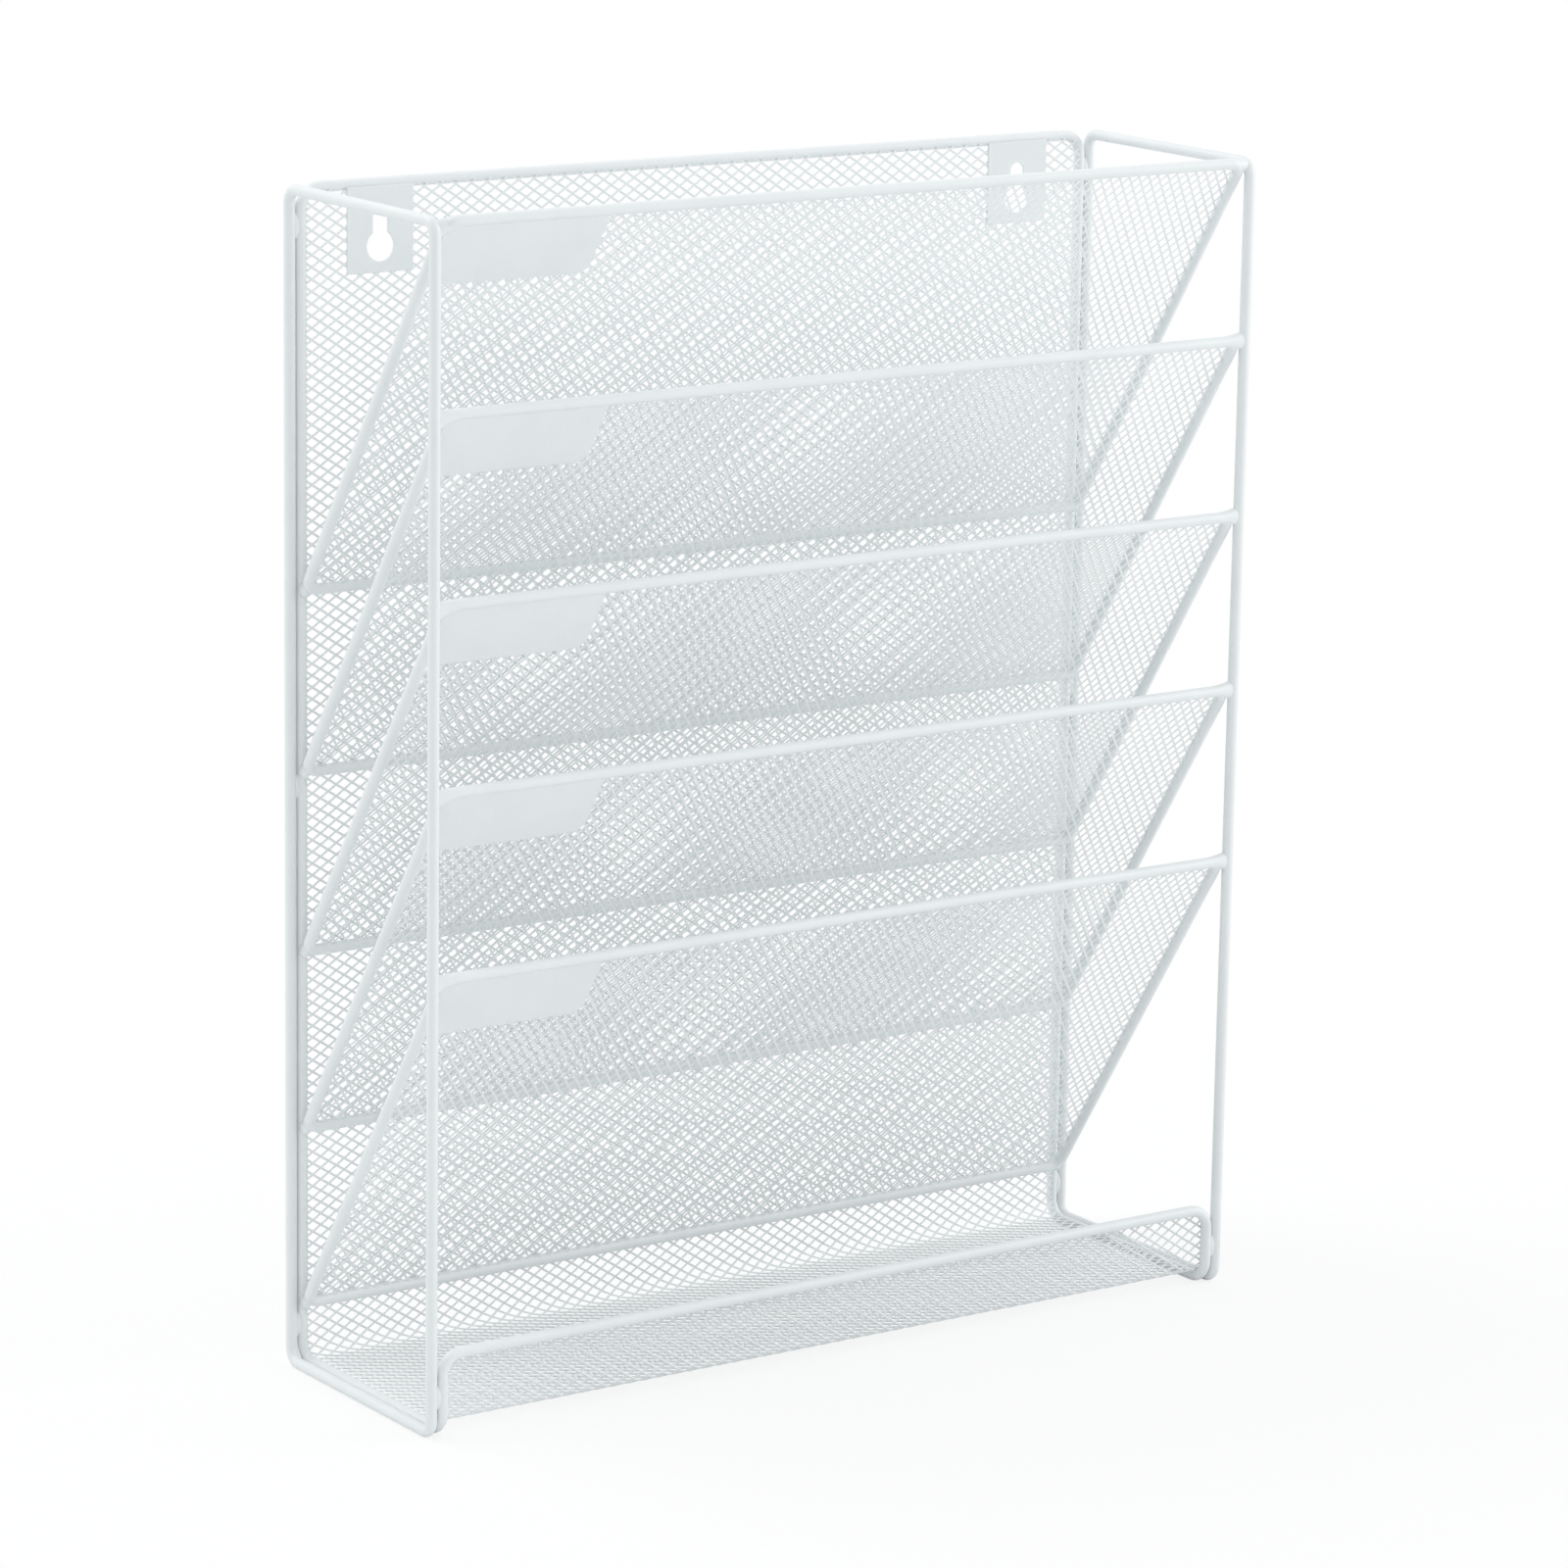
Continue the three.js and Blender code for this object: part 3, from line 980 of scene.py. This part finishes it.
class ORGANIZER_OT_wires(bpy.types.Operator):
    """Bend the side frames, the body wire and the panel wires"""

    bl_idname = "organizer.wires"
    bl_label = "Wires"

    def execute(self, context):
        wire = settings().wire
        for side in SIDES:
            node = f"side_frame_{side}"
            x = sum(corner.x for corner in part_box(node)) / 2
            bm = bent_wire(frame_corners(x), wire.frame_bend)
            add_piece(f"bent_{node}", bm, "wire", node)
        bm = bent_wire(body_corners(), wire.body_bend)
        add_piece("bent_body_wire", bm, "wire", "body_wire")
        for number in PANELS:
            panel = Panel(number)
            flat = [
                Vector((x, y, 0))
                for x, y in (
                    (-panel.half_width, 0),
                    (-panel.half_width, panel.length),
                    (panel.half_width, panel.length),
                    (panel.half_width, 0),
                )
            ]
            corners = [panel.matrix() @ corner for corner in flat]
            node = f"panel_wire_{number}"
            add_piece(f"bent_{node}", bent_wire(corners, wire.panel_bend), "wire", node)
        return {"FINISHED"}


class ORGANIZER_OT_body_sheet(bpy.types.Operator):
    """Fold the diamond mesh of the lip, the tray and the back"""

    bl_idname = "organizer.body_sheet"
    bl_label = "Body mesh"

    def execute(self, context):
        for part in ("tray", "back"):
            sheet = body_sheet(part)
            add_piece(f"{part}_diamonds", sheet, "mesh", "body_mesh", smooth=False)
        return {"FINISHED"}


class ORGANIZER_OT_panel_sheets(bpy.types.Operator):
    """Cut the diamond mesh of the slanted panels"""

    bl_idname = "organizer.panel_sheets"
    bl_label = "Panel meshes"

    def execute(self, context):
        for number in PANELS:
            sheet = panel_sheet(Panel(number))
            node = f"panel_mesh_{number}"
            add_piece(f"panel_diamonds_{number}", sheet, "mesh", node, smooth=False)
        return {"FINISHED"}


class ORGANIZER_OT_plates(bpy.types.Operator):
    """Set the label plates and the hanging plates"""

    bl_idname = "organizer.plates"
    bl_label = "Plates"

    def execute(self, context):
        for number in PANELS:
            plate = label_plate(Panel(number))
            node = f"label_plate_{number}"
            add_piece(f"label_tab_{number}", plate, "plate", node, smooth=False)
        for side in SIDES:
            plate = hanging_plate(side)
            node = f"hanging_plate_{side}"
            add_piece(f"keyhole_tab_{side}", plate, "plate", node, smooth=False)
        return {"FINISHED"}


class ORGANIZER_OT_welds(bpy.types.Operator):
    """Lay the weld beads where the wires meet"""

    bl_idname = "organizer.welds"
    bl_label = "Welds"

    def execute(self, context):
        for side in SIDES:
            add_piece(f"weld_beads_{side}", weld_beads(side), "wire")
        return {"FINISHED"}


def floor_finish():
    """A pale floor that shows white to the camera and keeps the shadow near the organizer."""
    material = bpy.data.materials.new("pale floor")
    material.use_nodes = True
    nodes = material.node_tree.nodes
    link = material.node_tree.links.new
    nodes.remove(nodes["Principled BSDF"])
    paint = nodes.new("ShaderNodeBsdfDiffuse")
    paint.inputs["Color"].default_value = (0.9, 0.9, 0.9, 1)
    glow = nodes.new("ShaderNodeEmission")
    glow.inputs["Strength"].default_value = 1.0
    place = nodes.new("ShaderNodeTexCoord")
    distance = nodes.new("ShaderNodeVectorMath")
    distance.operation = "LENGTH"
    far = nodes.new("ShaderNodeMapRange")
    far.interpolation_type = "SMOOTHSTEP"
    far.inputs["From Min"].default_value = 0.2
    far.inputs["From Max"].default_value = 0.75
    far.inputs["To Min"].default_value = 0.8
    far.inputs["To Max"].default_value = 1
    seen = nodes.new("ShaderNodeLightPath")
    share = nodes.new("ShaderNodeMath")
    share.operation = "MULTIPLY"
    mix = nodes.new("ShaderNodeMixShader")
    link(place.outputs["Object"], distance.inputs[0])
    link(distance.outputs["Value"], far.inputs["Value"])
    link(far.outputs[0], share.inputs[0])
    link(seen.outputs["Is Camera Ray"], share.inputs[1])
    link(share.outputs[0], mix.inputs[0])
    link(paint.outputs[0], mix.inputs[1])
    link(glow.outputs[0], mix.inputs[2])
    link(mix.outputs[0], nodes["Material Output"].inputs["Surface"])
    return material


def light_world(strength):
    """Soft light all round, which the camera and reflections see as plain white."""
    world = bpy.data.worlds.new("studio")
    bpy.context.scene.world = world
    world.use_nodes = True
    nodes = world.node_tree.nodes
    link = world.node_tree.links.new
    soft = nodes["Background"]
    soft.inputs["Color"].default_value = (0.97, 0.99, 1, 1)
    soft.inputs["Strength"].default_value = strength
    white = nodes.new("ShaderNodeBackground")
    white.inputs["Color"].default_value = (1, 1, 1, 1)
    white.inputs["Strength"].default_value = 1
    seen = nodes.new("ShaderNodeLightPath")
    either = nodes.new("ShaderNodeMath")
    either.operation = "MAXIMUM"
    either_way = nodes.new("ShaderNodeMath")
    either_way.operation = "MAXIMUM"
    mix = nodes.new("ShaderNodeMixShader")
    link(seen.outputs["Is Camera Ray"], either.inputs[0])
    link(seen.outputs["Is Glossy Ray"], either.inputs[1])
    link(either.outputs[0], either_way.inputs[0])
    link(seen.outputs["Is Transmission Ray"], either_way.inputs[1])
    link(either_way.outputs[0], mix.inputs[0])
    link(soft.outputs[0], mix.inputs[1])
    link(white.outputs[0], mix.inputs[2])
    link(mix.outputs[0], nodes["World Output"].inputs["Surface"])


def area_lamp(name, place, aim, size, power):
    lamp = bpy.data.lights.new(name, "AREA")
    lamp.size = size
    lamp.energy = power
    holder = bpy.data.objects.new(name, lamp)
    holder.location = place
    holder.rotation_euler = (Vector(aim) - Vector(place)).to_track_quat("-Z", "Y").to_euler()
    bpy.context.scene.collection.objects.link(holder)


class ORGANIZER_OT_stage(bpy.types.Operator):
    """Set the camera, the lamps and the floor"""

    bl_idname = "organizer.stage"
    bl_label = "Stage"

    def execute(self, context):
        stage = settings().stage
        data = bpy.data.cameras.new("camera")
        data.angle = stage.view_angle
        data.clip_end = CAMERA_REACH
        camera = bpy.data.objects.new("camera", data)
        turned = (
            Matrix.Rotation(stage.azimuth, 4, "Z")
            @ Matrix.Rotation(QUARTER - stage.elevation, 4, "X")
            @ Matrix.Rotation(stage.roll, 4, "Z")
        )
        camera.matrix_world = Matrix.Translation(stage.camera_place) @ turned
        context.scene.collection.objects.link(camera)
        context.scene.camera = camera
        context.scene.view_settings.view_transform = "Standard"
        light_world(stage.ambient)
        middle = (0, 0, solid_box[1][2] / 2)
        area_lamp("key lamp", stage.key_place, middle, stage.lamp_size, stage.key)
        area_lamp("fill lamp", stage.fill_place, middle, stage.lamp_size, stage.fill)
        bm = bmesh.new()
        bmesh.ops.create_grid(bm, x_segments=1, y_segments=1, size=FLOOR_HALF_WIDTH)
        floor_data = bpy.data.meshes.new("floor")
        bm.to_mesh(floor_data)
        bm.free()
        floor = bpy.data.objects.new("floor", floor_data)
        floor_data.materials.append(floor_finish())
        context.scene.collection.objects.link(floor)
        return {"FINISHED"}


STEPS = (
    ORGANIZER_OT_wires,
    ORGANIZER_OT_body_sheet,
    ORGANIZER_OT_panel_sheets,
    ORGANIZER_OT_plates,
    ORGANIZER_OT_welds,
    ORGANIZER_OT_stage,
)


class ORGANIZER_PT_sidebar(bpy.types.Panel):
    """Lists the steps that build the organizer"""

    bl_idname = "ORGANIZER_PT_sidebar"
    bl_label = "Organizer"
    bl_space_type = "VIEW_3D"
    bl_region_type = "UI"
    bl_category = "Organizer"

    def draw(self, context):
        for step in STEPS:
            self.layout.operator(step.bl_idname)


CLASSES = (
    OrganizerWire,
    OrganizerMesh,
    OrganizerPlate,
    OrganizerWeld,
    OrganizerFinish,
    OrganizerStage,
    OrganizerSettings,
    *STEPS,
    ORGANIZER_PT_sidebar,
)


def register():
    for item in CLASSES:
        bpy.utils.register_class(item)
    bpy.types.Scene.organizer = PointerProperty(type=OrganizerSettings)


def unregister():
    del bpy.types.Scene.organizer
    for item in reversed(CLASSES):
        bpy.utils.unregister_class(item)


def main():
    register()
    bpy.ops.organizer.wires()
    bpy.ops.organizer.body_sheet()
    bpy.ops.organizer.panel_sheets()
    bpy.ops.organizer.plates()
    bpy.ops.organizer.welds()
    bpy.ops.organizer.stage()


if __name__ == "__main__":
    main()
